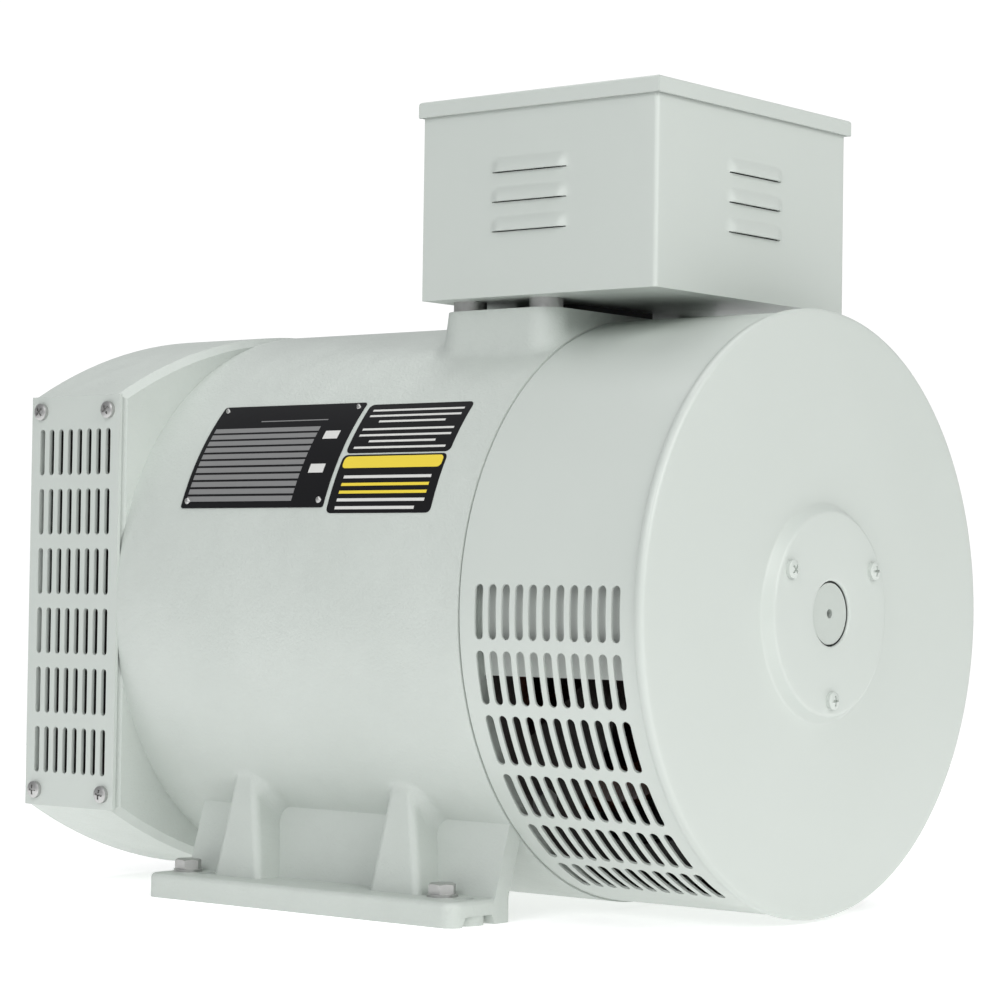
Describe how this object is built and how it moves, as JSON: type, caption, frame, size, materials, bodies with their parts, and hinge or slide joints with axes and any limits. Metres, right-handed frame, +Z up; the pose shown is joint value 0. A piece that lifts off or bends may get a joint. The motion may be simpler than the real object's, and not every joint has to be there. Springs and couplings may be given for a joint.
{
  "type": "generator alternator head",
  "caption": "Foot-mounted brush-excited alternator head with a cast barrel and feet, vented drive-end hood, slotted rear drum cover, top terminal box and keyed drive shaft.",
  "frame": {"origin": "centre of the four foot fixing holes, on the plane that the feet stand on", "axes": "+X along the shaft towards the round rear cover, -X out of the drive shaft, +Z up from the feet"},
  "size_m": [0.5322, 0.3214, 0.4347],
  "materials": {
    "painted_casting": "semi-gloss grey-green paint over fine cast texture",
    "painted_sheet": "semi-gloss grey-green paint on smooth sheet",
    "zinc_steel": "bright zinc plate",
    "bright_steel": "turned and ground steel",
    "core_laminations": "varnished laminations",
    "varnished_copper": "enamelled copper dipped in red-brown varnish",
    "fan_alloy": "cast",
    "black_moulding": "moulded",
    "board_moulding": "moulded phenolic",
    "brass": "turned",
    "carbon": "pressed carbon",
    "rubber": "moulded"
  },
  "bodies": {
    "housing": {"stator_frame": "painted_casting", "foot_bolts": "zinc_steel", "foot_washers": "zinc_steel", "stator_core": "core_laminations", "stator_windings": "varnished_copper", "drive_end_bracket": "painted_casting", "vent_plate_near": "painted_sheet", "vent_plate_far": "painted_sheet", "vent_plate_screws": "zinc_steel", "drive_bearing_outer_race": "bright_steel", "drive_bearing_cap": "painted_casting", "bearing_cap_screws": "zinc_steel", "drive_bracket_bolts": "zinc_steel", "rear_end_bracket": "painted_casting", "rear_bracket_bolts": "zinc_steel", "rear_bearing_outer_race": "bright_steel", "brush_holder": "black_moulding", "brush_holder_screws": "zinc_steel", "brush_spring_inner": "bright_steel", "brush_spring_outer": "bright_steel", "rear_cover_shell": "painted_sheet", "rear_baffle": "painted_sheet", "rear_cover_cap": "painted_sheet", "cap_screws": "zinc_steel", "terminal_box": "painted_sheet", "box_panel_drive": "painted_sheet", "box_panel_near": "painted_sheet", "box_panel_far": "painted_sheet", "box_panel_rear": "painted_sheet", "terminal_box_lid": "painted_sheet", "lid_screws": "zinc_steel", "box_spacers": "zinc_steel", "box_bolts": "zinc_steel", "lead_gasket": "rubber", "cable_bush": "rubber", "terminal_board": "board_moulding", "terminal_studs": "brass", "terminal_nuts": "brass", "voltage_regulator": "black_moulding"},
    "rotor": {"shaft": "bright_steel", "rotor_core": "core_laminations", "field_coils": "varnished_copper", "cooling_fan": "fan_alloy", "slip_ring_sleeve": "black_moulding", "slip_rings": "brass", "drive_bearing_inner_race": "bright_steel", "rear_bearing_inner_race": "bright_steel"},
    "inner_brush": {"brush_inner": "carbon"},
    "outer_brush": {"brush_outer": "carbon"}
  },
  "joints": [
    {"name": "rotor_spin", "type": "hinge", "parent": "housing", "child": "rotor", "pos_m": [0, 0, 0.16], "axis": [1, 0, 0], "continuous": true},
    {"name": "inner_brush_lift", "type": "slide", "parent": "housing", "child": "inner_brush", "axis": [0, 0, 1], "range_m": [0, 0.01], "stiffness_N_per_m": 150, "springref_m": -0.02, "deforming": ["brush_spring_inner"]},
    {"name": "outer_brush_lift", "type": "slide", "parent": "housing", "child": "outer_brush", "axis": [0, 0, 1], "range_m": [0, 0.01], "stiffness_N_per_m": 150, "springref_m": -0.02, "deforming": ["brush_spring_outer"]}
  ]
}
